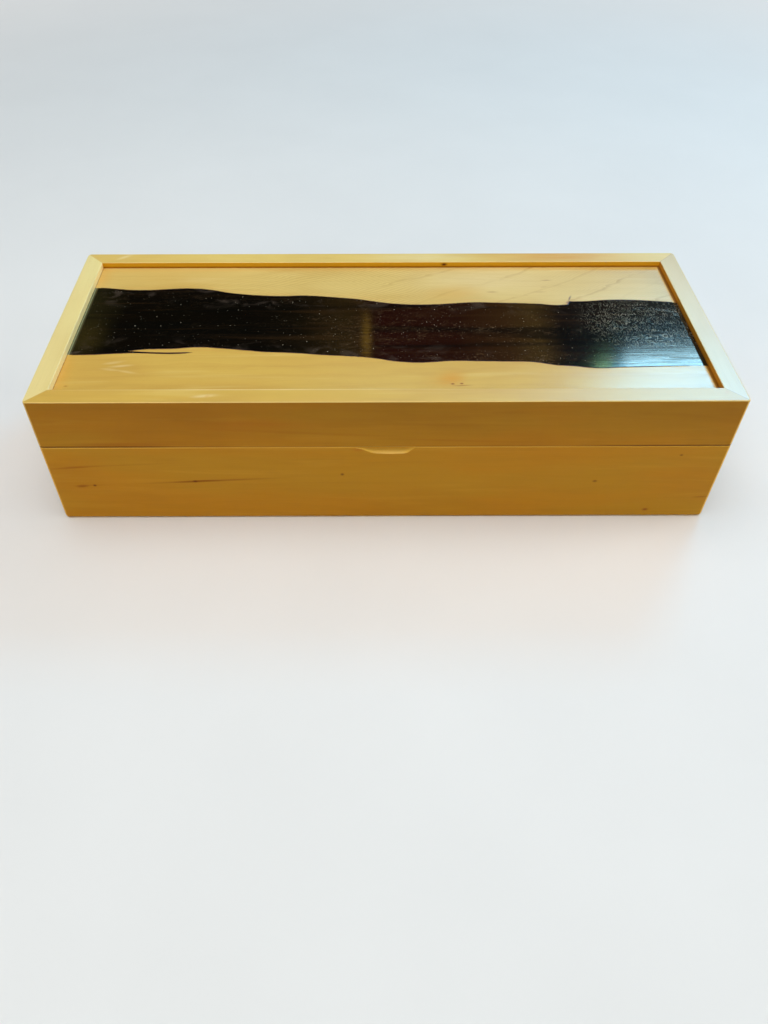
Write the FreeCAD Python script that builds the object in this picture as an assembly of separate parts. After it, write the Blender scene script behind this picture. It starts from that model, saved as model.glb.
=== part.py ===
import FreeCAD, Part
import math
import os

# A long wooden keepsake box. Its lid is a mitred frame round a sunk panel, and the panel
# is two live-edge boards with a dark cast strip between them. The lid is hinged at the
# back on two brass stop hinges and lifts at a thumb notch in the base's front board.
#
# Frame: origin at the centre of the underside, +X along the box, +Y to the hinged back,
# +Z up. All sizes are in millimetres.

os.makedirs("parts", exist_ok=True)
V = FreeCAD.Vector

# Outer sizes, with the lid shut
LENGTH = 350.0
DEPTH = 141.0
HEIGHT = 80.5
LID_HEIGHT = 29.0
BOARD = 10.3

# Rounding of the sanded edges
CORNER_R = 2.2
TOP_ARRIS_R = 0.6
BOTTOM_ARRIS_R = 2.0
SEAM_ARRIS_BASE_R = 0.8
SEAM_ARRIS_LID_R = 0.5
INNER_ARRIS_R = 0.4

# Lid panel and floor panel, both let into grooves in the boards
PANEL_SUNK = 3.5
PANEL_THICK = 6.0
FLOOR_THICK = 5.0
FLOOR_LIFT = 3.0
GROOVE_DEPTH = 4.0
GROOVE_PLAY = 0.5

# Thumb notch: its line on the front face as x and the drop below the seam, left to right,
# and the angle at which the scoop rises from there to the back
NOTCH_LINE = (
    (-17.5, 0.0), (-15.0, 0.6), (-12.3, 1.2), (-9.9, 2.4), (-7.1, 3.7), (-2.8, 4.4),
    (2.3, 4.6), (7.4, 4.5), (10.6, 4.0), (12.4, 2.7), (13.9, 1.1), (15.3, 0.4), (17.5, 0.0))
NOTCH_RISE_ANGLE = 31.0

# Live edges of the dark strip, seen from above, left to right. The front edge has a filled
# crack that leaves a thin sliver of wood beside the strip.
BACK_EDGE_LEFT = (
    (-156.3, 37.6), (-144.3, 35.8), (-126.2, 36.1), (-105.2, 37.0), (-98.2, 35.7),
    (-86.1, 32.3), (-75.1, 30.4), (-57.1, 28.8), (-47.1, 29.4), (-24.0, 27.1),
    (-12.0, 25.1), (-4.0, 22.9), (9.0, 20.4), (25.1, 19.7), (38.1, 20.9), (50.1, 21.9),
    (70.2, 21.1), (88.2, 20.1), (97.2, 18.9), (103.7, 19.6))
BACK_EDGE_RIGHT = ((104.7, 22.8), (115.0, 22.9), (125.3, 24.0), (141.3, 23.9), (155.3, 22.6))
BACK_EDGE_END_Y = (38.1, 20.7)
CRACK_FRONT_SIDE = (
    (-150.3, -26.3), (-142.3, -25.7), (-133.2, -25.2), (-118.2, -25.8), (-100.2, -24.8))
CRACK_BACK_SIDE = ((-118.2, -25.0), (-127.2, -24.3), (-133.7, -23.6))
FRONT_EDGE = (
    (-123.2, -21.7), (-110.2, -21.3), (-99.2, -20.1), (-87.2, -20.9), (-74.1, -22.7),
    (-61.1, -24.6), (-49.1, -25.2), (-30.0, -27.4), (-6.0, -30.1), (4.0, -32.5),
    (18.1, -34.0), (29.1, -33.0), (44.1, -32.7), (63.2, -33.3), (72.2, -33.5), (80.2, -34.5),
    (86.2, -36.3), (97.2, -37.4), (105.2, -39.0), (112.3, -39.1), (125.3, -38.3), (138.3, -37.8))
FRONT_EDGE_END_Y = (-26.5, -37.7)

# Brass stop hinges
HINGE_X = 112.0
HINGE_LENGTH = 32.0
KNUCKLES = 5
PIN_BEHIND_BACK = 0.5
LEAF_THICK = 2.6
LEAF_WIDTH = 8.5
LEAF_GAP = 0.1
MORTISE_PLAY = 0.1
KNUCKLE_R = 1.6
KNUCKLE_RELIEF = 0.25
KNUCKLE_END_GAP = 0.1
PIN_R = 0.8
PIN_FIXED_PLAY = 0.02
PIN_TURNING_PLAY = 0.05
PIN_END_INSET = 0.2
OPEN_ANGLE = 95.0
STOP_SLACK = 0.2

# Countersunk screws, three to a leaf
SCREW_PITCH = 11.0
SCREW_FROM_BACK = 4.6
SCREW_LENGTH = 9.5
SCREW_HEAD_R = 1.9
SCREW_SHANK_R = 1.0
SCREW_POINT = 2.0
SCREW_PLAY = 0.03
SCREW_HOLE_SPARE = 0.3
SLOT_WIDTH = 0.5
SLOT_DEPTH = 0.45
SLOT_ANGLES = (15.0, 80.0, 140.0)

# Worked out from the sizes above
HALF_L = LENGTH / 2
HALF_D = DEPTH / 2
SEAM_Z = HEIGHT - LID_HEIGHT
INNER_L = HALF_L - BOARD
INNER_D = HALF_D - BOARD
PANEL_TOP = HEIGHT - PANEL_SUNK
PANEL_BOTTOM = PANEL_TOP - PANEL_THICK
PANEL_L = INNER_L + GROOVE_DEPTH - GROOVE_PLAY
PANEL_D = INNER_D + GROOVE_DEPTH - GROOVE_PLAY
AXIS_Y = HALF_D + PIN_BEHIND_BACK
BEVEL_ANGLE = math.radians(OPEN_ANGLE / 2 + STOP_SLACK)

# Overrun of a cutting shape past what it cuts, and how near two places count as one
MARGIN = 1.0
SAME = 1e-6


def block(x, y, z):
    """A box between two x, two y and two z values."""
    return Part.makeBox(x[1] - x[0], y[1] - y[0], z[1] - z[0], V(x[0], y[0], z[0]))


def rod(radius, x0, x1, y, z):
    """A round bar along X."""
    return Part.makeCylinder(radius, x1 - x0, V(x0, y, z), V(1, 0, 0))


def edges_at(solid, z, outer):
    """The edges of a ring that lie flat at height z, on its outer or its inner outline."""
    found = []
    for edge in solid.Edges:
        box = edge.BoundBox
        flat = max(abs(box.ZMin - z), abs(box.ZMax - z)) < SAME
        if flat and on_opening(box) != outer:
            found.append(edge)
    return found


def on_opening(box):
    """True for an edge that lies on the outline of the inner opening."""
    along = max(abs(box.XMin), abs(box.XMax))
    across = max(abs(box.YMin), abs(box.YMax))
    return along < INNER_L + SAME and across < INNER_D + SAME


def ring(z0, z1, lower_r, upper_r, groove):
    """Four boards as one closed ring, with sanded edges and a groove round the inside."""
    outer = block((-HALF_L, HALF_L), (-HALF_D, HALF_D), (z0, z1))
    upright = [e for e in outer.Edges if e.BoundBox.ZLength > (z1 - z0) / 2]
    outer = outer.makeFillet(CORNER_R, upright)
    body = outer.cut(block((-INNER_L, INNER_L), (-INNER_D, INNER_D), (z0 - MARGIN, z1 + MARGIN)))
    body = body.makeFillet(lower_r, edges_at(body, z0, True))
    body = body.makeFillet(upper_r, edges_at(body, z1, True))
    reach_l = INNER_L + GROOVE_DEPTH
    reach_d = INNER_D + GROOVE_DEPTH
    return body.cut(block((-reach_l, reach_l), (-reach_d, reach_d), groove))


def mitre_wedges():
    """The four upright wedges that cut a ring into its boards at 45 degrees."""
    far_l = HALF_L + MARGIN
    far_d = HALF_D + MARGIN
    ridge = far_l - far_d
    outlines = {
        "front": ((-far_l, -far_d), (far_l, -far_d), (ridge, 0), (-ridge, 0)),
        "back": ((-far_l, far_d), (far_l, far_d), (ridge, 0), (-ridge, 0)),
        "left": ((-far_l, -far_d), (-ridge, 0), (-far_l, far_d)),
        "right": ((far_l, -far_d), (ridge, 0), (far_l, far_d)),
    }
    wedges = {}
    for side, points in outlines.items():
        corners = [V(x, y, -MARGIN) for x, y in points]
        face = Part.Face(Part.makePolygon(corners + corners[:1]))
        wedges[side] = face.extrude(V(0, 0, HEIGHT + 2 * MARGIN))
    return wedges


def thumb_notch():
    """The scoop of the thumb notch, deepest at the front face and rising to the back."""
    steep = math.tan(math.radians(NOTCH_RISE_ANGLE))
    start_y = -HALF_D - MARGIN
    seam_z = SEAM_Z - MARGIN * steep
    scooped = Part.BSplineCurve()
    scooped.interpolate([V(x, start_y, seam_z - drop) for x, drop in NOTCH_LINE])
    left = V(NOTCH_LINE[0][0], start_y, seam_z)
    right = V(NOTCH_LINE[-1][0], start_y, seam_z)
    lift = V(0, 0, BOARD)
    above = Part.makePolygon([right, right + lift, left + lift, left])
    outline = Part.Wire([scooped.toShape()] + above.Edges)
    return Part.Face(outline).extrude(V(0, BOARD, BOARD * steep))


def smooth(points, z):
    """One smooth edge through points seen from above."""
    curve = Part.BSplineCurve()
    curve.interpolate([V(x, y, z) for x, y in points])
    return curve.toShape()


def straight(a, b, z):
    """One straight edge between two points seen from above."""
    return Part.makeLine(V(a[0], a[1], z), V(b[0], b[1], z))


def strip_solid():
    """The dark strip, from one end groove to the other, with its filled crack."""
    back_left = (-PANEL_L, BACK_EDGE_END_Y[0])
    back_right = (PANEL_L, BACK_EDGE_END_Y[1])
    front_left = (-PANEL_L, FRONT_EDGE_END_Y[0])
    front_right = (PANEL_L, FRONT_EDGE_END_Y[1])
    z = PANEL_BOTTOM
    edges = [
        smooth((back_left,) + BACK_EDGE_LEFT, z),
        straight(BACK_EDGE_LEFT[-1], BACK_EDGE_RIGHT[0], z),
        smooth(BACK_EDGE_RIGHT + (back_right,), z),
        straight(back_right, front_right, z),
        smooth((CRACK_BACK_SIDE[-1],) + FRONT_EDGE + (front_right,), z),
        smooth((CRACK_FRONT_SIDE[-1],) + CRACK_BACK_SIDE, z),
        smooth((front_left,) + CRACK_FRONT_SIDE, z),
        straight(front_left, back_left, z),
    ]
    outline = Part.Wire(Part.sortEdges(edges)[0])
    return Part.Face(outline).extrude(V(0, 0, PANEL_THICK))


def screw_profile(play, slot_angle=None):
    """A countersunk screw that points down, with its head's top at the origin."""
    head_depth = SCREW_HEAD_R - SCREW_SHANK_R
    neck = SCREW_SHANK_R + play
    length = SCREW_LENGTH + (SCREW_HOLE_SPARE if play else 0)
    corners = [
        V(0, 0, 0), V(SCREW_HEAD_R + play, 0, 0), V(neck, 0, -head_depth),
        V(neck, 0, SCREW_POINT - length), V(0, 0, -length), V(0, 0, 0)]
    solid = Part.Face(Part.makePolygon(corners)).revolve(V(0, 0, 0), V(0, 0, 1), 360)
    if slot_angle is not None:
        half = SLOT_WIDTH / 2
        slot = block((-2 * SCREW_HEAD_R, 2 * SCREW_HEAD_R), (-half, half), (-SLOT_DEPTH, MARGIN))
        slot.rotate(V(0, 0, 0), V(0, 0, 1), slot_angle)
        solid = solid.cut(slot)
    return solid


def leaf_screws(play, slotted):
    """The three screws of a lower leaf, or the space that they need, about the hinge axis."""
    solids = []
    for i, angle in enumerate(SLOT_ANGLES):
        screw = screw_profile(play, angle if slotted else None)
        screw.translate(V((i - 1) * SCREW_PITCH, -PIN_BEHIND_BACK - SCREW_FROM_BACK, -LEAF_GAP))
        solids.append(screw)
    return solids


def knuckle_span(i, inset):
    """The two ends of knuckle i along X, each drawn in by inset."""
    pitch = HINGE_LENGTH / KNUCKLES
    start = -HINGE_LENGTH / 2 + i * pitch
    return start + inset, start + pitch - inset


def lower_leaf(own, pin_play):
    """A leaf that lies below the hinge axis, with a bevelled heel and its own knuckles.

    The axis is the X axis. The heels of two such leaves, one turned over, meet at the
    open angle, because each bevel leaves half of that angle between it and the seam.
    """
    heel = LEAF_THICK / math.tan(BEVEL_ANGLE)
    heel_lip = LEAF_GAP / math.tan(BEVEL_ANGLE)
    front = -PIN_BEHIND_BACK - LEAF_WIDTH
    corners = [
        V(0, front, -LEAF_THICK), V(0, heel, -LEAF_THICK), V(0, heel_lip, -LEAF_GAP),
        V(0, front, -LEAF_GAP), V(0, front, -LEAF_THICK)]
    leaf = Part.Face(Part.makePolygon(corners)).extrude(V(HINGE_LENGTH, 0, 0))
    leaf.translate(V(-HINGE_LENGTH / 2, 0, 0))
    for i in range(KNUCKLES):
        if i not in own:
            leaf = leaf.cut(rod(KNUCKLE_R + KNUCKLE_RELIEF, *knuckle_span(i, 0), 0, 0))
    for i in own:
        leaf = leaf.fuse(rod(KNUCKLE_R, *knuckle_span(i, KNUCKLE_END_GAP), 0, 0))
    bore = rod(PIN_R + pin_play, -HINGE_LENGTH, HINGE_LENGTH, 0, 0)
    leaf = leaf.cut(bore)
    return leaf.cut(Part.makeCompound(leaf_screws(SCREW_PLAY, False)))


def mortise():
    """The space that a lower leaf and its screws need in the board below it."""
    half = HINGE_LENGTH / 2 + MORTISE_PLAY
    front = -PIN_BEHIND_BACK - LEAF_WIDTH - MORTISE_PLAY
    pocket = block((-half, half), (front, LEAF_WIDTH), (-LEAF_THICK, MARGIN))
    return Part.makeCompound([pocket] + leaf_screws(SCREW_PLAY, False))


def at_hinge(shape, x, turned_over):
    """A copy of a hinge shape moved to its hinge, turned over for the lid's side."""
    placed = shape.mirror(V(0, 0, 0), V(0, 0, 1)) if turned_over else shape.copy()
    placed.translate(V(x, AXIS_Y, SEAM_Z))
    return placed


def base_boards():
    """The four boards of the base, with the notch and the two hinge mortises."""
    body = ring(0, SEAM_Z, BOTTOM_ARRIS_R, SEAM_ARRIS_BASE_R, (FLOOR_LIFT, FLOOR_LIFT + FLOOR_THICK))
    body = body.cut(thumb_notch())
    for x in (-HINGE_X, HINGE_X):
        body = body.cut(at_hinge(mortise(), x, False))
    boards = {}
    for side, wedge in mitre_wedges().items():
        boards["base_" + side + "_board"] = body.common(wedge)
    return boards


def lid_rails():
    """The four rails of the lid, with the two hinge mortises."""
    body = ring(SEAM_Z, HEIGHT, SEAM_ARRIS_LID_R, TOP_ARRIS_R, (PANEL_BOTTOM, PANEL_TOP))
    body = body.makeFillet(INNER_ARRIS_R, edges_at(body, HEIGHT, False))
    for x in (-HINGE_X, HINGE_X):
        body = body.cut(at_hinge(mortise(), x, True))
    rails = {}
    for side, wedge in mitre_wedges().items():
        rails["lid_" + side + "_rail"] = body.common(wedge)
    return rails


def panels():
    """The floor, and the lid's panel of two live-edge boards and the strip between them."""
    floor = block((-PANEL_L, PANEL_L), (-PANEL_D, PANEL_D), (FLOOR_LIFT, FLOOR_LIFT + FLOOR_THICK))
    strip = strip_solid()
    whole = block((-PANEL_L, PANEL_L), (-PANEL_D, PANEL_D), (PANEL_BOTTOM, PANEL_TOP))
    pieces = sorted(whole.cut(strip).Solids, key=lambda solid: solid.CenterOfMass.y)
    return {
        "base_floor_panel": floor,
        "resin_strip": strip,
        "lid_panel_front_board": pieces[0],
        "lid_panel_back_board": pieces[-1],
    }


def hinges():
    """Two stop hinges: a fixed leaf, a turning leaf, a pin and six screws each."""
    fixed = lower_leaf(range(0, KNUCKLES, 2), PIN_FIXED_PLAY)
    turning = lower_leaf(range(1, KNUCKLES, 2), PIN_TURNING_PLAY)
    pin = rod(PIN_R, PIN_END_INSET - HINGE_LENGTH / 2, HINGE_LENGTH / 2 - PIN_END_INSET, 0, 0)
    screws = Part.makeCompound(leaf_screws(0, True))
    nodes = {}
    for name, x in (("left", -HINGE_X), ("right", HINGE_X)):
        nodes[name + "_hinge_base_leaf"] = at_hinge(fixed, x, False)
        nodes[name + "_hinge_lid_leaf"] = at_hinge(turning, x, True)
        nodes[name + "_hinge_pin"] = at_hinge(pin, x, False)
        nodes[name + "_hinge_base_screws"] = at_hinge(screws, x, False)
        nodes[name + "_hinge_lid_screws"] = at_hinge(screws, x, True)
    return nodes


def main():
    nodes = {}
    nodes.update(base_boards())
    nodes.update(lid_rails())
    nodes.update(panels())
    nodes.update(hinges())
    for node, shape in nodes.items():
        print(node, "solids", len(shape.Solids), "valid", shape.isValid(), "mm3", round(shape.Volume))
        shape.exportStep("parts/" + node + ".step")


main()
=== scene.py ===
import bpy
import math
from mathutils import Matrix, Quaternion, Vector


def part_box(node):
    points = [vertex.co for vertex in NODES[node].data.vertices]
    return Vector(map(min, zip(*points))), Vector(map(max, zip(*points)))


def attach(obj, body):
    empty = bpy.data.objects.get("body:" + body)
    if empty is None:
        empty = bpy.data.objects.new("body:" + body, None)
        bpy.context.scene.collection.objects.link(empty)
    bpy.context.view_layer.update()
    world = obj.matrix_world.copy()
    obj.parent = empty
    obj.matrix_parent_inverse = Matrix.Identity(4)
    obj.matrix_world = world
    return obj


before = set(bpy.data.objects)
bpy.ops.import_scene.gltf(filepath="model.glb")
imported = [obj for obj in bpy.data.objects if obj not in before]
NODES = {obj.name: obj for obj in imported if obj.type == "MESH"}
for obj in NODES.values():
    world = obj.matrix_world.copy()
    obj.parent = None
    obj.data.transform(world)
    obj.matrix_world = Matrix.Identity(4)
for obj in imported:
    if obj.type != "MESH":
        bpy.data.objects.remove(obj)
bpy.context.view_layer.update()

# Sizes of the box, read from the frame. What the materials place on the wood is in
# millimetres of the frame.
MM = 0.001
HALF_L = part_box("base_right_board")[1].x / MM
HALF_D = -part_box("base_front_board")[0].y / MM
BOARD = (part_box("base_front_board")[1].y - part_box("base_front_board")[0].y) / MM
INNER_L = HALF_L - BOARD
INNER_D = HALF_D - BOARD
SEAM_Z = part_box("base_front_board")[1].z / MM
PANEL_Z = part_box("resin_strip")[1].z / MM
TOP_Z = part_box("lid_front_rail")[1].z / MM

# The photograph's camera: focal length and centre in pixels of the picture, place, and aim
PHOTO_WIDTH = 768
PHOTO_HEIGHT = 1024
FOCAL_PX = 805.77
CENTRE_X_PX = 362.73
CAMERA_MM = (-12.57, -374.07, 323.71)
PITCH_DOWN = 46.475
TURN_RIGHT = 0.185
ROLL = -0.042
SENSOR = 36.0


def srgb(r, g, b):
    """A colour given as three sRGB values from 0 to 255, as linear light."""
    def linear(c):
        c = c / 255
        return c / 12.92 if c <= 0.04045 else ((c + 0.055) / 1.055) ** 2.4
    return (linear(r), linear(g), linear(b), 1.0)


class Graph:
    """A material's nodes, joined by short calls. An input is a number, a tuple or a socket."""

    def __init__(self, name):
        self.material = bpy.data.materials.new(name)
        self.material.use_nodes = True
        self.tree = self.material.node_tree
        self.tree.nodes.clear()
        coords = self.node("TexCoord")
        self.mm = self.node("Mapping", {"Vector": coords.outputs["Object"],
                                        "Scale": (1 / MM, 1 / MM, 1 / MM)}).outputs[0]
        self.x, self.y, self.z = self.node("SeparateXYZ", {0: self.mm}).outputs
        self.normal = self.node("SeparateXYZ", {0: coords.outputs["Normal"]}).outputs

    def node(self, kind, inputs=None, **settings):
        made = self.tree.nodes.new("ShaderNode" + kind)
        for key, value in settings.items():
            setattr(made, key, value)
        for key, value in (inputs or {}).items():
            self.feed(made.inputs[key], value)
        return made

    def feed(self, socket, value):
        if isinstance(value, bpy.types.NodeSocket):
            self.tree.links.new(value, socket)
        else:
            socket.default_value = value

    def math(self, operation, a, b=0.0):
        return self.node("Math", {0: a, 1: b}, operation=operation).outputs[0]

    def add(self, *values):
        total = values[0]
        for value in values[1:]:
            total = self.math("ADD", total, value)
        return total

    def times(self, *values):
        product = values[0]
        for value in values[1:]:
            product = self.math("MULTIPLY", product, value)
        return product

    def less(self, value):
        """One minus a value."""
        return self.math("SUBTRACT", 1.0, value)

    def size(self, value):
        return self.math("ABSOLUTE", value)

    def most(self, *values):
        highest = values[0]
        for value in values[1:]:
            highest = self.math("MAXIMUM", highest, value)
        return highest

    def rise(self, value, low, high):
        """A smooth step from 0 at low to 1 at high, which may be the lower one."""
        return self.node("MapRange", {"Value": value, "From Min": low, "From Max": high},
                         interpolation_type="SMOOTHSTEP").outputs[0]

    def mix(self, share, a, b, blend="MIX"):
        made = self.node("Mix", data_type="RGBA", blend_type=blend)
        self.feed(made.inputs[0], share)
        self.feed(made.inputs[6], a)
        self.feed(made.inputs[7], b)
        return made.outputs[2]

    def stretch(self, scale, shift=(0, 0, 0), angle=0.0):
        """The place in millimetres, turned about Z, scaled on each axis and shifted."""
        turned = self.mm
        if angle:
            turn = (0, 0, math.radians(-angle))
            turned = self.node("Mapping", {"Vector": turned, "Rotation": turn}).outputs[0]
        return self.node("Mapping", {"Vector": turned, "Scale": scale, "Location": shift}).outputs[0]

    def noise(self, at, detail=2.0, roughness=0.5, distortion=0.0):
        settings = {"Vector": at, "Scale": 1.0, "Detail": detail, "Roughness": roughness,
                    "Distortion": distortion}
        return self.node("TexNoise", settings).outputs[0]

    def cells(self, at, feature="F1"):
        settings = {"Vector": at, "Scale": 1.0, "Randomness": 1.0}
        return self.node("TexVoronoi", settings, feature=feature).outputs

    def ramp(self, value, stops):
        """A colour that follows a value through stops of place and colour."""
        made = self.node("ValToRGB", {0: value})
        elements = made.color_ramp.elements
        for i, (place, colour) in enumerate(stops):
            element = elements[i] if i < 2 else elements.new(place)
            element.position = place
            element.color = colour
        return made.outputs[0]

    def spot(self, centre, half, angle=0.0, plane="xy"):
        """A soft oval, 1 at its centre and 0 at its rim, that goes through square to a plane."""
        through = 1e4
        if plane == "xy":
            place = (*centre, 0)
            size = (*half, through)
            turn = (0, 0, math.radians(angle))
        else:
            place = (centre[0], 0, centre[1])
            size = (half[0], through, half[1])
            turn = (0, -math.radians(angle), 0)
        local = self.node("Mapping", {"Vector": self.mm, "Location": place, "Rotation": turn,
                                      "Scale": size}, vector_type="TEXTURE").outputs[0]
        ball = self.node("TexGradient", {0: local}, gradient_type="SPHERICAL").outputs[1]
        return self.rise(ball, 0.0, 1.0)

    def bump(self, height, depth_mm):
        return self.node("Bump", {"Height": height, "Strength": 1.0, "Distance": depth_mm * MM}).outputs[0]

    def surface(self, shader_inputs):
        shader = self.node("BsdfPrincipled", shader_inputs)
        self.node("OutputMaterial", {0: shader.outputs[0]})
        return self.material


# Wood tones: two neighbouring hues, then the dark and the pale of the figure. The upright faces' tones are
# darker and more saturated than the tops', as painted shade
SHADED_SIDE_TONES = (srgb(184, 132, 29), srgb(188, 128, 25), srgb(163, 108, 18), srgb(200, 148, 42))
BASE_TOP_TONES = (srgb(208, 158, 56), srgb(204, 150, 48), srgb(178, 122, 30), srgb(222, 176, 76))
FRONT_RAIL_TONES = (srgb(210, 173, 76), srgb(206, 166, 74), srgb(184, 140, 60), srgb(222, 194, 112))
BACK_RAIL_TONES = (srgb(224, 195, 106), srgb(221, 188, 98), srgb(196, 152, 70), srgb(232, 211, 138))
LEFT_RAIL_TONES = (srgb(232, 215, 146), srgb(228, 207, 138), srgb(202, 176, 104), srgb(234, 222, 160))
RIGHT_RAIL_TONES = (srgb(213, 188, 130), srgb(211, 181, 120), srgb(188, 154, 84), srgb(224, 208, 148))
PANEL_FRONT_TONES = (srgb(209, 172, 82), srgb(206, 166, 78), srgb(186, 142, 66), srgb(222, 195, 118))
PANEL_BACK_TONES = (srgb(217, 188, 110), srgb(214, 181, 100), srgb(180, 136, 46), srgb(229, 208, 142))

# Walls round the sunk panel, coloured as lit: the left one pale cream as painted light, the back and right
# ones deeper golden as painted shade. Each has its colour, the height in millimetres of the painted shade
# at its foot, and that shade's strength
WALL_BACK_SHADED = (srgb(226, 168, 34), 1.3, 0.75)
WALL_LEFT_LIT = (srgb(255, 236, 168), 0.35, 0.25)
WALL_RIGHT_SHADED = (srgb(202, 140, 42), 1.2, 0.7)
WALL_FOOT_SHADE = srgb(146, 82, 8)

# The lid's sides are a little redder than the base's
LID_SIDE_TINT = (0.98, 0.94, 0.82, 1.0)

# Stains and marks in the wood, with painted light and shade: shadows beside the right wall and along the
# seam, the lit notch, and highlights on arrises and corners
MINERAL = srgb(84, 18, 0)
BROWN = srgb(126, 56, 2)
AMBER = srgb(150, 82, 6)
ORANGE = srgb(210, 148, 56)
RIGHT_WALL_SHADOW = srgb(112, 64, 4)
RED_BROWN = srgb(128, 44, 10)
KNOT = srgb(208, 150, 50)
WARM = srgb(208, 160, 66)
SEAM_SHADE_AND_STAIN = srgb(96, 50, 4)
NOTCH_PAINTED_LIGHT = srgb(246, 200, 84)
PALE = srgb(240, 222, 170)
WEAR_AND_HIGHLIGHT = srgb(232, 186, 76)
CORNER_HIGHLIGHT = srgb(244, 200, 98)


def mark(at, half, angle=0.0, plane="xz", strength=1.0, colour=MINERAL):
    """A spot or streak on the upright faces, or with plane xy on the level ones."""
    return {"at": at, "half": half, "angle": angle, "plane": plane, "strength": strength, "colour": colour}


# Marks of each board that shows in the photograph: place, half size and turn of each
BASE_FRONT_MARKS = (
    mark((-90.0, 28.3), (50.0, 1.2), 3.0, strength=0.6, colour=BROWN),
    mark((-98.0, 27.9), (17.0, 1.1), 3.0, strength=0.9, colour=BROWN),
    mark((-99.5, 27.9), (2.0, 1.1)),
    mark((-154.0, 25.2), (17.0, 0.9), 2.0, strength=0.3, colour=AMBER),
    mark((-159.6, 24.6), (5.0, 1.5), 4.0, strength=0.7, colour=BROWN),
    mark((-152.9, 25.1), (1.4, 1.1)),
    mark((-22.2, 32.6), (1.5, 1.3)),
    mark((110.6, 27.2), (2.0, 1.2)),
    mark((142.5, 5.6), (2.6, 1.5), colour=RED_BROWN),
    mark((151.1, 45.5), (1.4, 1.0)),
    mark((170.0, 15.2), (6.0, 1.0), 2.0, strength=0.7, colour=AMBER),
    mark((-160.0, 38.1), (20.0, 1.2), 5.0, strength=0.7, colour=AMBER),
    mark((-135.0, 39.6), (40.0, 0.8), 3.0, strength=0.3, colour=AMBER),
    # Painted shadow of the lid's edge at the notch's left end
    mark((-14.0, 50.0), (5.0, 2.0), strength=0.6, colour=srgb(176, 96, 20)),
)
LID_FRONT_MARKS = (
    mark((-134.0, 53.6), (40.0, 2.4), 0.0, strength=0.5, colour=AMBER),
    mark((-40.0, 61.0), (70.0, 1.6), -3.2, strength=0.3, colour=AMBER),
    mark((30.0, 56.0), (60.0, 1.3), -2.0, strength=0.3, colour=AMBER),
    mark((-60.0, 66.0), (55.0, 6.0), 0.0, strength=0.3, colour=srgb(168, 96, 14)),
    mark((-88.0, -65.6), (9.0, 1.8), 8.0, "xy", 0.5, PALE),
    # Painted highlight: a thin pale line along the front rail's inner arris
    mark((-60.0, -60.6), (130.0, 0.8), 0.0, "xy", 0.6, PALE),
    mark((-86.6, -65.7), (2.2, 1.3), 20.0, "xy", 0.5, KNOT),
    mark((165.1, -63.6), (3.4, 1.8), 60.0, "xy", 0.4, KNOT),
)
LID_BACK_MARKS = (
    mark((-152.6, 66.8), (8.0, 2.2), 35.0, "xy", 0.6, PALE),
    mark((22.0, 66.0), (48.0, 9.0), 0.0, "xy", 0.7, srgb(230, 214, 154)),
    mark((106.0, 66.0), (60.0, 14.0), 0.0, "xy", 1.0, srgb(210, 152, 52)),
    mark((37.0, 78.9), (2.8, 1.6), 0.0, "xz", 1.0, MINERAL),
    mark((37.0, 78.9), (1.6, 1.0), 0.0, "xz", 1.0, MINERAL),
)
PANEL_BACK_MARKS = (
    mark((58.0, 47.0), (62.0, 26.0), 0.0, "xy", 0.4, PALE),
    mark((-120.0, 50.0), (64.0, 28.0), 0.0, "xy", 0.4, srgb(206, 162, 74)),
    mark((40.8, 31.8), (24.0, 13.0), 10.0, "xy", 0.6, WARM),
    mark((62.4, 32.9), (4.6, 0.8), 0.0, "xy", 0.75, AMBER),
    mark((95.2, 45.4), (4.6, 0.8), 3.0, "xy", 0.7, AMBER),
    mark((92.9, 38.1), (3.2, 0.7), 5.0, "xy", 0.45, AMBER),
    mark((89.8, 32.8), (5.4, 0.7), 3.0, "xy", 0.45, AMBER),
    mark((105.5, 26.0), (4.6, 0.9), 68.0, "xy", 1.0, MINERAL),
    mark((103.6, 21.6), (2.4, 1.4), 80.0, "xy", 0.9, RED_BROWN),
    mark((-166.0, 48.0), (12.0, 26.0), 0.0, "xy", 0.5, ORANGE),
)
PANEL_FRONT_MARKS = (
    mark((30.0, -47.3), (16.0, 9.0), 25.0, "xy", 0.6, WARM),
    mark((33.1, -48.0), (11.0, 8.0), 25.0, "xy", 0.85, KNOT),
    mark((33.3, -52.1), (1.5, 1.1), 0.0, "xy", 1.0, BROWN),
    mark((37.8, -51.8), (1.4, 1.0), 0.0, "xy", 1.0, BROWN),
    mark((38.0, -53.4), (7.0, 0.9), 3.0, "xy", 0.6, AMBER),
    mark((-139.0, -33.6), (8.0, 1.6), 12.0, "xy", 0.3, PALE),
    mark((-135.0, -36.6), (9.0, 1.5), 8.0, "xy", 0.34, PALE),
    mark((-140.0, -39.4), (7.0, 1.4), -8.0, "xy", 0.3, PALE),
    mark((-131.0, -41.4), (8.0, 1.3), -14.0, "xy", 0.26, PALE),
    mark((-166.0, -44.0), (10.0, 30.0), 0.0, "xy", 0.55, ORANGE),
    mark((-158.9, -53.1), (1.5, 1.0), 0.0, "xy", 0.6, AMBER),
)

# Growth lines of the panel's back board: how far each lies across the bent grain, and how dark
BACK_BOARD_LINES = ((61.8, 0.4), (36.8, 0.5), (10.8, 0.35), (-11.7, 0.7), (-28.2, 0.4), (-44.2, 0.7))


# Painted shade on the lid's sides: the share of their colour kept at the seam, and the share lost up to
# the top
LID_SIDE_PAINTED_LIGHT = 0.90
LID_SIDE_PAINTED_SHADE = 0.14

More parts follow.
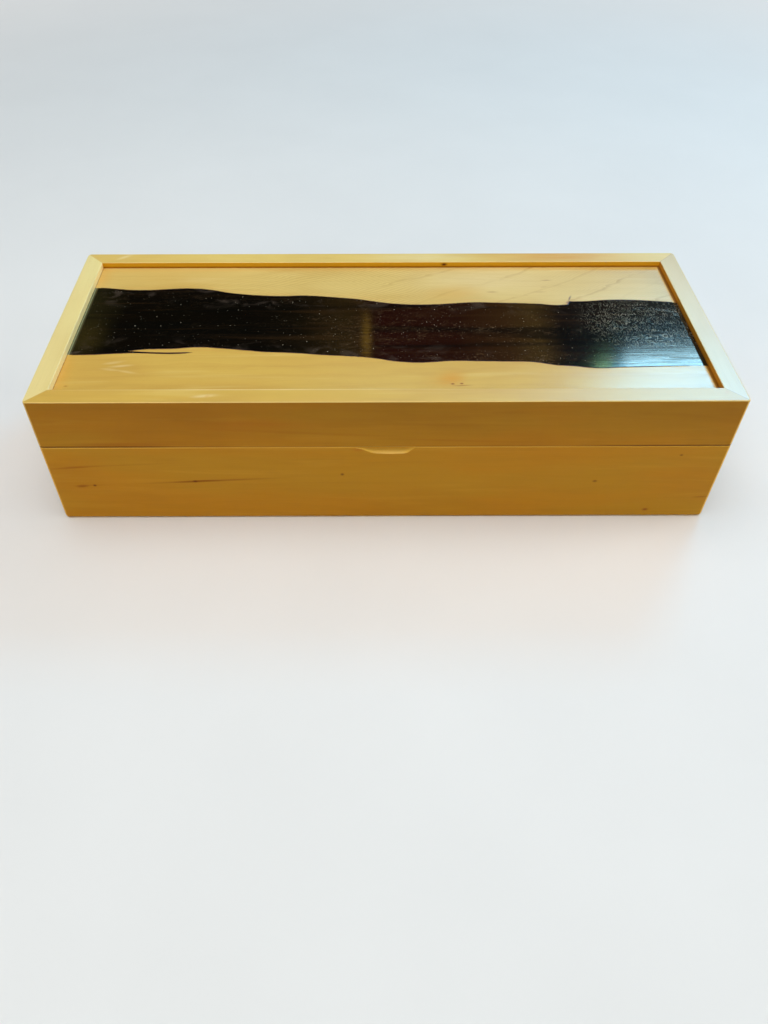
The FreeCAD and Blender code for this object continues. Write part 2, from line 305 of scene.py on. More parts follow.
# The dark line along the lid's lower arris, a painted shadow of the seam's gap with some stain: where it
# fades out above the seam, in millimetres, and where it is full, and where along the box it turns strong
SEAM_LINE_TOP = 1.3
SEAM_LINE_FULL = 0.75
SEAM_LINE_WEAK_X = 90.0
SEAM_LINE_STRONG_X = 130.0

# Half the length of the thumb notch, with a little to spare, and how deep its painted light goes
NOTCH_HALF = 17.0
NOTCH_DEEP = 8.0

# Coat of lacquer on upright faces, and what level faces have besides
COAT_UPRIGHT = 0.25
COAT_LEVEL_LID = 0.75
COAT_LEVEL_BASE = 0.15


class WoodGraph(Graph):
    """A board's material, with the noise fields of its grain from broad to fine."""

    def __init__(self, name, along, seed):
        super().__init__(name)
        self.seed = seed
        self.shift = (seed * 17.0, seed * 5.3, seed * 9.1)
        self.grain_axis = "xyz".index(along)
        self.run, self.side = (self.x, self.y) if along == "x" else (self.y, self.x)
        self.broad = self.grain_noise(0.010, 0.035)
        self.cloud = self.grain_noise(0.016, 0.055, 23.0, 2.0, 0.5, 0.4)
        self.figure = self.grain_noise(0.020, 0.13, 3.0, 3.0, 0.55, 0.8)
        self.streaks = self.grain_noise(0.010, 0.55, 31.0, 3.0, 0.55)
        self.fibres = self.grain_noise(0.05, 1.6, 7.0, 4.0, 0.62)
        self.fine = self.grain_noise(0.2, 7.0, 11.0, 3.0, 0.6)
        self.wander = self.grain_noise(0.011, 0.02, 19.0, 3.0)
        self.pores = self.rise(self.grain_noise(0.5, 6.0, 41.0, 1.0), 0.70, 0.77)
        self.level = self.rise(self.size(self.normal[2]), 0.35, 0.75)
        self.upright = self.less(self.level)
        self.inside = self.times(self.math("LESS_THAN", self.size(self.x), INNER_L + 0.3),
                                 self.math("LESS_THAN", self.size(self.y), INNER_D + 0.3))
        mottled = self.add(self.broad, self.times(self.add(self.fibres, -0.5), 0.15))
        self.hue = self.rise(mottled, 0.36, 0.64)
        light = self.grain_noise(0.014, 0.22, 47.0, 3.0, 0.5, 0.5)
        self.pale = self.times(self.rise(light, 0.52, 0.75), 0.35)

    def grain_noise(self, long, across, offset=0.0, *settings):
        """Noise stretched along the grain. The settings are those of noise."""
        scale = [across] * 3
        scale[self.grain_axis] = long
        return self.noise(self.stretch(tuple(scale), tuple(s + offset for s in self.shift)), *settings)


def growth_lines(g, rings, spacing, bend, ring_depth, lines, close_lines):
    """The dark lines of the growth rings: evenly spaced ones, and single ones from lines."""
    straight = g.add(g.times(g.run, rings[0]), g.times(g.side, rings[1]), g.times(g.z, rings[2]),
                     g.times(g.run, g.run, bend * 1e-4))
    across = g.add(straight, g.times(g.wander, 22.0), g.times(g.figure, 2.5))
    turn = g.math("FRACT", g.math("DIVIDE", g.add(across, 1000.0 + g.seed * 3.0), spacing))
    late = g.times(g.rise(turn, 0.35, 0.93), g.rise(turn, 1.0, 0.955))
    seen = g.rise(g.grain_noise(0.012, 0.05, 29.0), 0.4, 0.62)
    if close_lines:
        low, high = close_lines
        zone = g.times(g.rise(g.run, low - 20.0, low + 15.0), g.rise(g.run, high + 20.0, high - 15.0))
        seen = g.add(g.times(seen, 0.35), g.times(zone, 0.65))
    found = g.times(late, g.add(0.15, g.times(seen, 0.85)))
    bent = g.add(straight, g.times(g.add(g.wander, -0.5), 24.0), g.times(g.add(g.figure, -0.5), 8.0))
    broken = g.rise(g.grain_noise(0.03, 0.04, 53.0), 0.36, 0.58)
    for level_at, depth in lines:
        off = g.add(bent, -level_at)
        line = g.times(g.rise(off, -2.4, -0.1), g.rise(off, 0.5, 0.1), g.add(0.25, g.times(broken, 0.75)))
        found = g.most(found, g.times(line, depth / ring_depth))
    return found


def toned(g, tones, dark):
    """Two neighbouring hues, with pale streaks and the dark of the figure."""
    a, b, deep, light = tones
    colour = g.mix(g.hue, a, b)
    colour = g.mix(g.pale, colour, light)
    return g.mix(dark, colour, deep)


def shaded_side_colour(g, dark, wall, lid):
    """The upright faces, painted darker than the tops as shade, with the walls round the sunk panel."""
    colour = toned(g, SHADED_SIDE_TONES, dark)
    if lid:
        # Painted shade: the lid's sides darken toward the top
        under_top = g.rise(g.z, SEAM_Z, TOP_Z)
        colour = g.mix(1.0, colour, g.add(LID_SIDE_PAINTED_LIGHT, g.times(under_top, -LID_SIDE_PAINTED_SHADE)), "MULTIPLY")
        colour = g.mix(1.0, colour, LID_SIDE_TINT, "MULTIPLY")
    if wall:
        # The walls round the sunk panel take their colour painted as lit or shaded
        grained = g.mix(g.times(g.fibres, 0.14), wall[0], AMBER)
        above_panel = g.rise(g.z, PANEL_Z - 2.0, PANEL_Z - 1.0)
        colour = g.mix(g.times(g.inside, above_panel), colour, grained)
    return colour


def edge_wear_light_and_shade(g, colour, pale, lid):
    """Sanded edges wear paler, and paler still as painted highlight; the vertical corners get a painted
    highlight, stronger toward the right. The lid's lower arris gets a painted shadow of the seam, with
    some stain, most of all near its ends.
    """
    flat = g.most(g.size(g.normal[0]), g.size(g.normal[1]), g.size(g.normal[2]))
    # Arrises paler from sanding, and paler still as painted highlight; faces looking down are left out
    rubbed_and_lit = g.add(0.45, g.times(g.cloud, 0.3))
    rubbed_and_lit = g.times(rubbed_and_lit, g.rise(flat, 0.985, 0.86), g.rise(g.normal[2], -0.98, -0.5))
    colour = g.mix(rubbed_and_lit, colour, pale if lid else WEAR_AND_HIGHLIGHT)
    # Painted highlight along the vertical corners, stronger toward the right
    turned = g.rise(g.times(g.size(g.normal[0]), g.size(g.normal[1])), 0.2, 0.42)
    corner = g.times(turned, g.less(g.inside), g.add(0.25, g.times(g.rise(g.x, 0.0, 100.0), 0.4)))
    colour = g.mix(corner, colour, CORNER_HIGHLIGHT)
    if lid:
        # Painted shadow of the seam's gap, with some stain, on the lid's lower arris, strongest near the
        # ends
        at_ends = g.rise(g.size(g.x), SEAM_LINE_WEAK_X, SEAM_LINE_STRONG_X)
        low = g.rise(g.z, SEAM_Z + SEAM_LINE_TOP, SEAM_Z + SEAM_LINE_FULL)
        seam_shade_and_stain = g.times(low, g.add(0.15, g.times(at_ends, 0.7)), g.less(g.inside), g.upright)
        colour = g.mix(seam_shade_and_stain, colour, SEAM_SHADE_AND_STAIN)
    return colour


def lit_notch(g, colour):
    """The thumb notch's hollow is painted paler than the face round it, as painted light where the lid
    shades it.
    """
    front = -HALF_D
    hollow = g.times(g.rise(g.y, front + 0.2, front + 0.5),
                     g.rise(g.y, front + NOTCH_DEEP + 0.5, front + NOTCH_DEEP),
                     g.rise(g.z, SEAM_Z - 0.15, SEAM_Z - 0.4),
                     g.math("LESS_THAN", g.size(g.x), NOTCH_HALF))
    return g.mix(g.times(hollow, 0.95), colour, NOTCH_PAINTED_LIGHT)


def marked(g, colour, marks):
    """Stains, knots and streaks, with ragged edges along the fibres."""
    ragged = g.add(0.6, g.times(g.rise(g.fibres, 0.35, 0.6), 0.4))
    for spot in marks:
        mask = g.spot(spot["at"], spot["half"], spot["angle"], spot["plane"])
        faces = g.upright if spot["plane"] == "xz" else g.level
        colour = g.mix(g.times(mask, ragged, faces, spot["strength"]), colour, spot["colour"])
    return colour


def joined(g, colour, wall, panel):
    """Glue lines at the mitres, a dark line along the panel's edges at the rails, painted shadow on the
    panel beside the right wall, and painted shade at the walls' feet.
    """
    if panel:
        to_wall = g.math("MINIMUM", g.math("SUBTRACT", INNER_L, g.size(g.x)),
                         g.math("SUBTRACT", INNER_D, g.size(g.y)))
        colour = g.mix(g.times(g.rise(to_wall, 0.6, 0.05), 0.55), colour, AMBER)
        # Painted shadow: a dark band on the panel beside the right wall
        beside = g.rise(g.x, INNER_L - 1.5, INNER_L - 0.9)
        return g.mix(g.times(beside, 0.85), colour, RIGHT_WALL_SHADOW)
    from_mitre = g.size(g.math("SUBTRACT", g.math("SUBTRACT", HALF_L, g.size(g.x)),
                               g.math("SUBTRACT", HALF_D, g.size(g.y))))
    glue = g.times(g.rise(from_mitre, 0.34, 0.06), g.add(0.12, g.times(g.rise(g.x, 60.0, 160.0), 0.4)))
    colour = g.mix(glue, colour, AMBER)
    # Painted shade at the foot of the walls round the sunk panel
    if wall:
        foot = g.rise(g.size(g.math("SUBTRACT", g.z, PANEL_Z)), wall[1], wall[1] * 0.45)
        colour = g.mix(g.times(foot, g.inside, g.upright, wall[2]), colour, WALL_FOOT_SHADE)
    return colour


def wood(name, along="x", seed=0.0, top=FRONT_RAIL_TONES, wall=None, rings=(0.05, 0.2, 1.0),
         spacing=7.0, bend=0.0, figure_depth=0.3, ring_depth=0.1, lines=(), close_lines=None,
         marks=(), lid=False, panel=False, notch=False, coat_roughness=0.34):
    """Clear-lacquered fine pale wood.

    rings is the direction across the growth rings, and bend curves them along the board.
    lines adds single ones, and close_lines is where along the board the others show most.
    """
    g = WoodGraph(name, along, seed)
    ring_lines = growth_lines(g, rings, spacing, bend, ring_depth, lines, close_lines)
    dark = g.add(g.times(g.rise(g.cloud, 0.42, 0.75), figure_depth),
                 g.times(g.rise(g.figure, 0.5, 0.78), figure_depth * 0.7),
                 g.times(g.rise(g.streaks, 0.55, 0.75), 0.12), g.times(ring_lines, ring_depth))
    dark = g.math("MINIMUM", dark, 1.0)
    # Upright faces take the darker side tones and level faces the top tones: painted shade by facing
    colour = g.mix(g.level, shaded_side_colour(g, dark, wall, lid), toned(g, top, dark))
    colour = edge_wear_light_and_shade(g, colour, top[3], lid)
    if notch:
        colour = lit_notch(g, colour)
    colour = marked(g, colour, marks)
    colour = joined(g, colour, wall, panel)

    # Fine fibre contrast and pores
    contrast = g.add(0.93, g.times(g.fibres, 0.09), g.times(g.fine, 0.05))
    colour = g.mix(1.0, colour, contrast, "MULTIPLY")
    colour = g.mix(g.times(g.pores, 0.22), colour, AMBER)

    relief = g.add(g.times(g.fibres, 0.5), g.times(g.fine, 0.5), g.times(g.pores, -0.8))
    peel = g.noise(g.stretch((0.16, 0.16, 0.16), g.shift), 2.0)
    lacquer = g.add(peel, g.times(g.fibres, 0.12), g.times(g.pores, -0.15))
    coat_level = COAT_LEVEL_LID if lid or panel else COAT_LEVEL_BASE
    return g.surface({
        "Base Color": colour, "Roughness": g.add(0.42, g.times(g.fibres, 0.12)), "Specular IOR Level": 0.0,
        "Normal": g.bump(relief, 0.012), "Coat Weight": g.add(COAT_UPRIGHT, g.times(g.level, coat_level)),
        "Coat Roughness": coat_roughness, "Coat Normal": g.bump(lacquer, 0.03)})


# Tones of the cast strip from end to end, by x
STRIP_TONES = (
    (-168, (34, 32, 12)), (-155, (26, 22, 7)), (-142, (10, 6, 2)), (-70, (8, 5, 2)), (-40, (17, 11, 3)),
    (-18, (29, 20, 6)), (-1, (33, 8, 3)), (40, (34, 12, 4)), (66, (48, 29, 10)), (82, (58, 42, 16)),
    (96, (20, 12, 7)), (114, (18, 12, 8)), (124, (28, 22, 15)), (168, (30, 30, 22)))
STRIP_BLACK = srgb(6, 5, 3)
STRIP_AMBER = srgb(60, 40, 20)
PAINTED_SHIMMER_LIGHT = srgb(100, 74, 24)
PAINTED_GLOW = srgb(60, 42, 14)
PAINTED_END_GLOW = srgb(52, 42, 14)
WISP = srgb(88, 68, 46)
CURL = srgb(118, 98, 74)
MILK = srgb(84, 72, 62)
SCRATCH = srgb(132, 120, 100)
BUBBLE = srgb(206, 198, 176)
CREST = srgb(150, 146, 128)
DASH = srgb(118, 110, 92)
PAINTED_WALL_GLINT = srgb(150, 156, 120)

# Where along the box the strip's band of painted light lies
SHIMMER_X = -9.4

# The strip's middle line by x, and the distances from it where its face clouds toward the edges
STRIP_MIDDLE_Y = -2.2
STRIP_SLANT = -0.043
STRIP_CLEAR = 11.0
STRIP_CLOUDED = 27.0

# Where along the box the strip's face turns to curled ripples, and where across
CURLED_X = (102.0, 124.0)
CURLED_Y = (-26.0, -10.0)

# How deep the ripples of the strip's face are, in millimetres
RIPPLE_DEPTH = 0.035

# Bubbles in the strip: cells to a millimetre, radius as a share of a cell, and strength
BUBBLE_SIZES = ((0.17, 0.07, 0.9), (0.33, 0.105, 0.75), (0.7, 0.16, 0.45))

# Scratches in the strip: direction in degrees, and how far they are stretched
SCRATCH_TURNS = ((0.0, (0.16, 1.9, 1.9)), (62.0, (0.22, 2.1, 2.1)), (118.0, (0.2, 2.3, 2.3)))


def strip_depths(g, cloud, flow):
    """The strip's dark tones, from end to end, with the flow that it set in."""
    bands = g.noise(g.stretch((0.006, 0.09, 0.09), (2, 8, 0)), 3.0, 0.5, 0.6)
    drift = g.add(g.x, g.times(g.add(cloud, -0.5), 16.0))
    stops = [((x + HALF_L) / (2 * HALF_L), srgb(*tone)) for x, tone in STRIP_TONES]
    colour = g.ramp(g.math("DIVIDE", g.add(drift, HALF_L), 2 * HALF_L), stops)
    colour = g.mix(g.times(g.rise(bands, 0.55, 0.38), 0.7), colour, STRIP_BLACK)
    return g.mix(g.times(g.rise(flow, 0.52, 0.78), 0.4), colour, STRIP_AMBER)


def painted_shimmer(g, colour, cloud):
    """A narrow band of painted light, as if caught from within, with striations across it, and painted
    glows beside it and at the left end.
    """
    off = g.add(g.x, -SHIMMER_X, g.times(g.add(cloud, -0.5), 3.0))
    threads = g.noise(g.stretch((0.06, 1.5, 1.5), (0, 7, 0)), 3.0, 0.6)
    striped = g.add(0.35, g.times(g.rise(threads, 0.35, 0.65), 0.65))
    near = g.rise(g.size(off), 6.0, 0.0)
    band = g.times(near, near, g.rise(g.y, 24.0, -8.0), g.rise(g.y, -42.0, -22.0))
    colour = g.mix(g.times(band, striped, 0.9), colour, PAINTED_SHIMMER_LIGHT)
    # Painted glow to the left of the band
    glow = g.times(g.rise(g.x, -52.0, -18.0), g.rise(g.x, -6.0, -13.0), striped)
    colour = g.mix(g.times(glow, 0.32), colour, PAINTED_GLOW)
    # Painted glow at the strip's left end
    end_glow = g.spot((-159.0, -12.0), (15.0, 28.0))
    return g.mix(g.times(end_glow, 0.6), colour, PAINTED_END_GLOW)


def clouded(g, colour, patch):
    """Milky wisps, scratches and bubbles, most of all toward the live edges and past the middle."""
    from_middle = g.size(g.add(g.y, -STRIP_MIDDLE_Y, g.times(g.x, -STRIP_SLANT)))
    near_edge = g.rise(from_middle, STRIP_CLEAR, STRIP_CLOUDED)
    busy = g.times(g.rise(g.x, -70.0, -20.0), g.rise(g.x, 112.0, 80.0))
    at_edge = g.times(near_edge, g.add(0.3, g.times(busy, 0.5)))
    where = g.times(patch, g.most(at_edge, g.add(0.12, g.times(busy, 0.75))))
    wisps = g.noise(g.stretch((0.14, 0.34, 0.34), (1, 4, 2)), 5.0, 0.62, 1.6)
    colour = g.mix(g.times(g.rise(wisps, 0.50, 0.74), where, 0.5), colour, WISP)
    curls = g.noise(g.stretch((0.3, 0.7, 0.7), (6, 2, 5)), 4.0, 0.6, 2.2)
    colour = g.mix(g.times(g.rise(curls, 0.60, 0.70), where, 0.4), colour, CURL)
    milk = g.noise(g.stretch((0.07, 0.12, 0.12), (8, 1, 3)), 3.0, 0.55, 0.8)
    colour = g.mix(g.times(g.rise(milk, 0.52, 0.72), near_edge, 0.4), colour, MILK)
    for turned, scale in SCRATCH_TURNS:
        cell = g.cells(g.stretch(scale, (turned, 3, 1), turned))
        chosen = g.rise(g.node("SeparateColor", {0: cell["Color"]}).outputs[0], 0.91, 0.95)
        scratch = g.times(g.rise(cell["Distance"], 0.2, 0.06), chosen, g.add(0.15, where))
        colour = g.mix(g.times(scratch, 0.3), colour, SCRATCH)
    for pitch, radius, strength in BUBBLE_SIZES:
        cell = g.cells(g.stretch((pitch, pitch, pitch), (pitch * 40, 0, 0)))
        chosen = g.rise(g.node("SeparateColor", {0: cell["Color"]}).outputs[1], 0.66, 0.95)
        bubble = g.times(g.rise(cell["Distance"], radius, radius * 0.4), chosen)
        bubble = g.times(bubble, g.add(0.6, g.times(where, 0.6)), strength)
        colour = g.mix(bubble, colour, BUBBLE)
    return colour


def rippled(g, colour, flow, patch):
    """Fine lines along the cast face, and curled ones at its right end.

    Gives the colour, the face's normal, and where its gloss is dull.
    """
    lines = g.noise(g.stretch((0.045, 1.2, 1.2), (0, 2, 0)), 3.0, 0.5, 0.3)
    maze = g.noise(g.stretch((0.30, 0.17, 0.17), (3, 7, 1)), 2.0, 0.5, 0.9)
    worms = g.math("SINE", g.times(maze, 38.0))
    curled = g.times(g.rise(g.x, *CURLED_X), g.rise(g.y, *CURLED_Y))
    gathered = g.add(0.25, g.times(g.rise(flow, 0.44, 0.6), 0.45), g.times(patch, 0.3))
    crest = g.times(g.rise(worms, 0.7, 1.0), curled, gathered)
    colour = g.mix(g.times(crest, 0.62), colour, CREST)
    dashes = g.noise(g.stretch((0.12, 1.1, 1.1), (4, 1, 9)), 3.0, 0.55, 0.4)
    dash = g.times(g.rise(dashes, 0.60, 0.70), g.rise(g.x, 96.0, 116.0), patch)
    colour = g.mix(g.times(dash, 0.3), colour, DASH)
    combed = g.times(g.rise(g.x, 92.0, 112.0), g.rise(g.y, 4.0, -12.0))
    ripple = g.add(g.times(lines, g.add(0.1, g.times(combed, 0.12))), g.times(crest, 0.16))
    dull = g.most(g.times(g.rise(lines, 0.5, 0.6), combed), g.times(g.rise(worms, 0.0, -0.8), curled))
    return colour, g.bump(ripple, RIPPLE_DEPTH), dull


def resin():
    """The cast strip: clouded dark resin, full of fine bubbles, with a glossy rippled face."""
    g = Graph("cast_resin")
    cloud = g.noise(g.stretch((0.03, 0.06, 0.06), (5, 3, 0)), 4.0, 0.6, 1.0)
    flow = g.noise(g.stretch((0.010, 0.20, 0.20)), 5.0, 0.62, 0.9)
    patch = g.rise(g.noise(g.stretch((0.022, 0.06, 0.06), (9, 9, 9)), 2.0), 0.36, 0.62)
    colour = strip_depths(g, cloud, flow)
    colour = painted_shimmer(g, colour, cloud)
    colour = clouded(g, colour, patch)
    colour, face, dull = rippled(g, colour, flow, patch)
    # A painted glint on the strip beside the left wall
    from_wall = g.add(g.x, INNER_L)
    painted_glint = g.times(g.rise(from_wall, 1.3, 0.9), g.rise(from_wall, 0.1, 0.4))
    colour = g.mix(g.times(painted_glint, 0.6), colour, PAINTED_WALL_GLINT)
    return g.surface({
        "Base Color": colour, "Roughness": 0.4, "Specular IOR Level": 0.0, "Normal": face,
        "Coat Weight": g.less(g.times(dull, 0.45)), "Coat Roughness": 0.09, "Coat Normal": face})


def edge_resin():
    """The black rim where the strip meets the wood."""
    g = Graph("resin_rim")
    tint = g.noise(g.stretch((0.1, 0.3, 0.3)), 3.0)
    colour = g.mix(tint, srgb(5, 3, 2), srgb(26, 14, 7))
    return g.surface({"Base Color": colour, "Roughness": 0.3, "Specular IOR Level": 0.2})


def stained_edge():
    """Wood stained by the resin along its live edge."""
    g = Graph("stained_edge")
    patchy = g.noise(g.stretch((0.06, 0.2, 0.2), (4, 0, 0)), 3.0, 0.6)
    colour = g.mix(g.rise(patchy, 0.4, 0.65), srgb(112, 60, 14), srgb(196, 146, 66))
    return g.surface({"Base Color": colour, "Roughness": 0.45, "Specular IOR Level": 0.2})


def brass(name, seed, dull=0.0):
    """Old brushed brass, dulled by tarnish."""
    g = Graph(name)
    shift = (seed, seed * 2, seed * 3)
    brushed = g.noise(g.stretch((0.15, 9.0, 9.0), shift), 4.0, 0.6)
    tarnish = g.noise(g.stretch((0.25, 0.4, 0.4), shift), 4.0, 0.6, 0.5)
    colour = g.mix(g.rise(tarnish, 0.35, 0.7), srgb(222, 182, 98), srgb(176, 132, 58))
    colour = g.mix(g.times(g.rise(brushed, 0.5, 0.75), 0.35 + dull), colour, srgb(132, 92, 40))
    rough = g.add(0.62 + dull, g.times(tarnish, 0.15))
    return g.surface({"Base Color": colour, "Metallic": 0.45, "Roughness": rough,
                      "Specular IOR Level": 0.2, "Normal": g.bump(brushed, 0.01)})


def dress():
    """Gives every CAD node its material."""
    looks = {
        "base_front_board": wood("wood_base_front", seed=1.0, top=BASE_TOP_TONES, figure_depth=0.2,
                                 marks=BASE_FRONT_MARKS, notch=True),
        "base_back_board": wood("wood_base_back", seed=4.0, top=BASE_TOP_TONES),
        "base_left_board": wood("wood_base_left", "y", seed=6.0, top=BASE_TOP_TONES),
        "base_right_board": wood("wood_base_right", "y", seed=9.0, top=BASE_TOP_TONES),
        "base_floor_panel": wood("wood_floor", seed=12.0, rings=(0.08, 1.0, 0.3), spacing=14.0,
                                 panel=True),
        "lid_front_rail": wood("wood_lid_front", seed=1.0, wall=WALL_BACK_SHADED, marks=LID_FRONT_MARKS,
                               lid=True),
        "lid_back_rail": wood("wood_lid_back", seed=4.0, top=BACK_RAIL_TONES, wall=WALL_BACK_SHADED,
                              marks=LID_BACK_MARKS, lid=True),
        "lid_left_rail": wood("wood_lid_left", "y", seed=6.0, top=LEFT_RAIL_TONES, wall=WALL_LEFT_LIT,
                              lid=True),
        "lid_right_rail": wood("wood_lid_right", "y", seed=9.0, top=RIGHT_RAIL_TONES, wall=WALL_RIGHT_SHADED,
                               lid=True),
        "lid_panel_front_board": wood("wood_panel_front", seed=15.0, top=PANEL_FRONT_TONES,
                                      rings=(-0.04, 1.0, 0.3), spacing=8.0, ring_depth=0.16,
                                      marks=PANEL_FRONT_MARKS, panel=True, coat_roughness=0.24),
        "lid_panel_back_board": wood("wood_panel_back", seed=18.0, top=PANEL_BACK_TONES,
                                     rings=(-0.47, 1.0, 0.3), bend=-8.25, spacing=1.9,
                                     ring_depth=0.42, lines=BACK_BOARD_LINES, close_lines=(-66.0, 18.0),
                                     marks=PANEL_BACK_MARKS, panel=True),
        "resin_strip": resin(),
    }
    leaf = brass("brass_leaf", 1.0)
    screw = brass("brass_screw", 5.0, 0.08)
    for name in NODES:
        if name.endswith(("_leaf", "_pin")):
            looks[name] = leaf
        elif name.endswith("_screws"):
            looks[name] = screw
    for name, material in looks.items():
        NODES[name].material_slots[0].material = material


def top_outline(node):
    """The points round the top face of a flat-topped node, as closed loops, and their height."""
    mesh = NODES[node].data
    high = max(v.co.z for v in mesh.vertices)
    near = 1e-5
    edges = set()
    for face in mesh.polygons:
        if face.normal.z > 0.99 and all(abs(mesh.vertices[v].co.z - high) < near for v in face.vertices):
            corners = [tuple(round(c, 7) for c in mesh.vertices[v].co[:2]) for v in face.vertices]
            for a, b in zip(corners, corners[1:] + corners[:1]):
                if (b, a) in edges:
                    edges.remove((b, a))
                else:
                    edges.add((a, b))
    following = dict(sorted(edges))
    loops = []
    while following:
        start, point = following.popitem()
        loop = [start]
        while point != start:
            loop.append(point)
            point = following.pop(point)
        loops.append(loop)
    return loops, high


def live_edges():
    """The strip's two live edges between the end rails, as runs of points, and their height."""
    loops, high = top_outline("resin_strip")
    loop = max(loops, key=len)
    limit = INNER_L * MM
    inside = [abs(point[0]) < limit for point in loop]
    first = next(i for i in range(len(loop)) if inside[i] and not inside[i - 1])
    runs = []
    run = []
    for point in loop[first:] + loop[:first]:
        if abs(point[0]) < limit:
            run.append(point)
        elif run:
            runs.append(run)
            run = []
    if run:
        runs.append(run)
    return runs, high


# The beads along the live edges: radius, how proud each stands, and how far it is pushed outward
# onto the wood, in millimetres
STAIN_BEAD = (0.9, 0.045, 0.25)
RIM_BEAD = (0.24, 0.1, 0.0)


def bead(name, sizes, material):
    """A slim bead along both live edges of the strip."""
    radius, proud, outward = (size * MM for size in sizes)
    runs, high = live_edges()
    data = bpy.data.curves.new(name, "CURVE")
    data.dimensions = "3D"
    data.bevel_depth = radius
    data.bevel_resolution = 3
    for run in runs:
        spline = data.splines.new("POLY")
        spline.points.add(len(run) - 1)
        for i, target in enumerate(spline.points):
            before = Vector(run[max(i - 1, 0)])
            after = Vector(run[min(i + 1, len(run) - 1)])
            along = (after - before).normalized()
            place = Vector(run[i]) + Vector((along.y, -along.x)) * outward
            target.co = (place.x, place.y, high + proud - radius, 1)
    made = bpy.data.objects.new(name, data)
    bpy.context.scene.collection.objects.link(made)
    data.materials.append(material)
    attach(made, "lid")


# The backdrop, and the distances from the box in millimetres where the floor turns into it
BACKDROP = (0.80, 0.80, 0.79, 1.0)
FLOOR_NEAR = 500.0
FLOOR_FAR = 1500.0
FLOOR_METRES = 14.0
FLOOR_TONES = (srgb(222, 221, 218), srgb(229, 228, 225))


def floor():
    """The plain pale surface that the box stands on."""
    bpy.ops.mesh.primitive_plane_add(size=FLOOR_METRES, location=(0, 0, 0))
    plane = bpy.context.object
    plane.name = "floor"
    g = Graph("floor_paint")
    shade = g.noise(g.stretch((0.01, 0.01, 0.01)), 3.0)
    colour = g.mix(shade, *FLOOR_TONES)
    paint = g.node("BsdfPrincipled", {"Base Color": colour, "Roughness": 0.75})
    from_box = g.math("POWER", g.add(g.times(g.x, g.x), g.times(g.y, g.y)), 0.5)
    path = g.node("LightPath").outputs
    seen = g.most(path["Is Camera Ray"], path["Is Glossy Ray"])
    share = g.times(g.rise(from_box, FLOOR_NEAR, FLOOR_FAR), seen)
    pale = g.node("Emission", {"Color": BACKDROP})
    blend = g.node("MixShader", {0: share, 1: paint.outputs[0], 2: pale.outputs[0]})
    g.node("OutputMaterial", {0: blend.outputs[0]})
    plane.data.materials.append(g.material)


# Colours of the lamps as linear light: warm in front and on the right, cool behind
FRONT_LIGHT = (1.0, 0.93, 0.82)
RIGHT_LIGHT = (1.0, 0.95, 0.86)
WINDOW_LIGHT = (0.13, 0.62, 1.0)
SKY_LIGHT = (0, 0.46, 1)
SILL_LIGHT = (0.55, 0.9, 1)
EDGE_LIGHT = (0.46, 0.9, 0.45)
HIGH_SKY_LIGHT = (0.15, 0.66, 1.0)

# The place on the lid that the window's lamps face, in metres, and how far they lean, in degrees
WINDOW_AIM = Vector((0.12, 0, 0.077))
WINDOW_LEAN = 20.0


def softbox(name, place, width, height, watts, colour=(1, 1, 1), aim=(0, 0, 0.05), lean=0.0,
            gloss_only=False):
    """A rectangular lamp that no camera sees."""
    data = bpy.data.lights.new(name, "AREA")
    data.shape = "RECTANGLE"
    data.size = width
    data.size_y = height
    data.energy = watts
    data.color = colour
    lamp = bpy.data.objects.new(name, data)
    bpy.context.scene.collection.objects.link(lamp)
    lamp.location = place
    facing = (Vector(aim) - Vector(place)).to_track_quat("-Z", "Y")
    lamp.rotation_euler = (facing @ Quaternion((0, 0, 1), math.radians(lean))).to_euler()
    lamp.visible_camera = False
    lamp.visible_diffuse = not gloss_only


def window(name, azimuth, elevation, distance, width, height, watts, colour, lean=WINDOW_LEAN,
           gloss_only=True):
    """A lamp behind the lid, at an azimuth right of +Y and an elevation, in degrees."""
    turn = math.radians(azimuth)
    tilt = math.radians(elevation)
    level = distance * math.cos(tilt)
    away = Vector((math.sin(turn) * level, math.cos(turn) * level, distance * math.sin(tilt)))
    softbox(name, WINDOW_AIM + away, width, height, watts, colour, WINDOW_AIM, lean, gloss_only)


def lamps():
    """One broad lamp overhead, warm fills in front and on the right, and a cool window behind.

    The window's own light is weak. Its sky, sill and edge show only in the gloss.
    """
    softbox("overhead", (-0.15, -0.18, 1.5), 1.5, 1.1, 17.0)
    softbox("front_fill", (-0.7, -1.9, 0.9), 1.6, 1.0, 11.5, FRONT_LIGHT)
    softbox("right_fill", (1.8, 0.2, 0.5), 1.0, 0.7, 16.0, RIGHT_LIGHT)
    window("window", 32.0, 38.2, 2.4, 0.62, 0.45, 14.0, WINDOW_LIGHT, gloss_only=False)
    window("window_sky", 37.0, 45.0, 2.5, 0.95, 0.75, 36.0, SKY_LIGHT)
    window("window_sill", 32.0, 32.2, 2.3, 0.70, 0.05, 2.1, SILL_LIGHT)
    window("window_edge", 21.9, 38.8, 2.4, 0.05, 0.34, 0.5, EDGE_LIGHT)
    window("high_sky", 16.0, 50.0, 2.6, 1.6, 0.8, 8.0, HIGH_SKY_LIGHT, lean=0.0)


# The room's light low down and overhead, and the rises of a ray between which it grows
ROOM_LOW = 0.012
ROOM_HIGH = 0.55
ROOM_GROWS = (0.6, 0.95)

# The rises of a ray between which the backdrop shows in the gloss
BACKDROP_SHOWS = (0.3, 0.18)


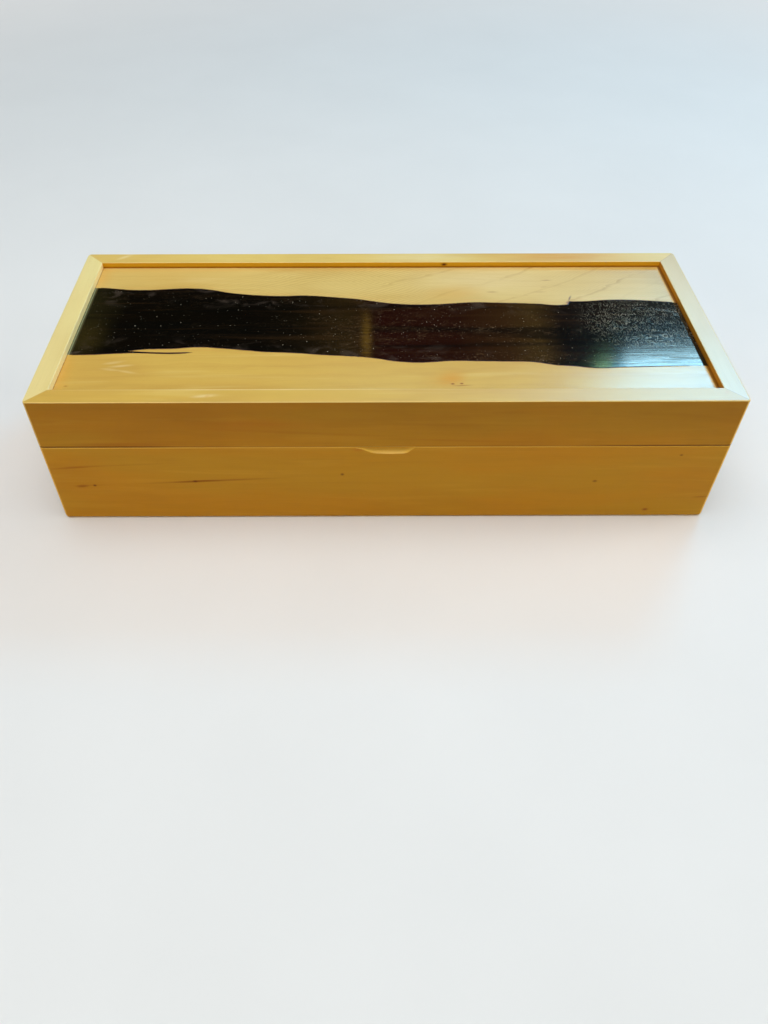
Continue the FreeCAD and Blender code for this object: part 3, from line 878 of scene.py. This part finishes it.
def room():
    """The room round the box: soft light from above, and a pale backdrop in view."""
    world = bpy.data.worlds.new("studio")
    bpy.context.scene.world = world
    world.use_nodes = True
    tree = world.node_tree
    tree.nodes.clear()

    def node(kind, *inputs):
        made = tree.nodes.new("ShaderNode" + kind)
        for socket, value in zip(made.inputs, inputs):
            if isinstance(value, bpy.types.NodeSocket):
                tree.links.new(value, socket)
            elif value is not None:
                socket.default_value = value
        return made

    up = node("SeparateXYZ", node("TexCoord").outputs["Generated"]).outputs[2]
    strength = node("MapRange", up, *ROOM_GROWS, ROOM_LOW, ROOM_HIGH)
    soft = node("Background", strength.outputs[0])
    backdrop = node("Background", BACKDROP)
    path = node("LightPath").outputs
    mirrored = node("Math", path["Is Glossy Ray"], path["Is Transmission Ray"])
    mirrored.operation = "MAXIMUM"
    low = node("MapRange", up, *BACKDROP_SHOWS, 0.0, 1.0)
    shown = node("Math", mirrored.outputs[0], low.outputs[0])
    shown.operation = "MULTIPLY"
    either = node("Math", path["Is Camera Ray"], shown.outputs[0])
    either.operation = "MAXIMUM"
    blend = node("MixShader", either.outputs[0], soft.outputs[0], backdrop.outputs[0])
    node("OutputWorld", blend.outputs[0])


def photo_camera():
    """The camera that took the photograph, as fitted to the box's edges in it."""
    data = bpy.data.cameras.new("photo_camera")
    data.sensor_width = SENSOR
    data.lens = FOCAL_PX / PHOTO_HEIGHT * SENSOR
    data.shift_x = (PHOTO_WIDTH / 2 - CENTRE_X_PX) / PHOTO_HEIGHT
    data.clip_start = 0.01
    data.clip_end = 60.0
    camera = bpy.data.objects.new("photo_camera", data)
    bpy.context.scene.collection.objects.link(camera)
    camera.location = Vector(CAMERA_MM) * MM
    turned = Matrix.Rotation(math.radians(-TURN_RIGHT), 3, "Z")
    tilted = Matrix.Rotation(math.radians(90 - PITCH_DOWN), 3, "X")
    rolled = Matrix.Rotation(math.radians(ROLL), 3, "Z")
    camera.rotation_euler = (turned @ tilted @ rolled).to_euler()
    bpy.context.scene.camera = camera


bpy.context.scene.view_settings.view_transform = "Standard"
dress()
bead("stained_edge", STAIN_BEAD, stained_edge())
bead("resin_rim", RIM_BEAD, edge_resin())
floor()
lamps()
room()
photo_camera()
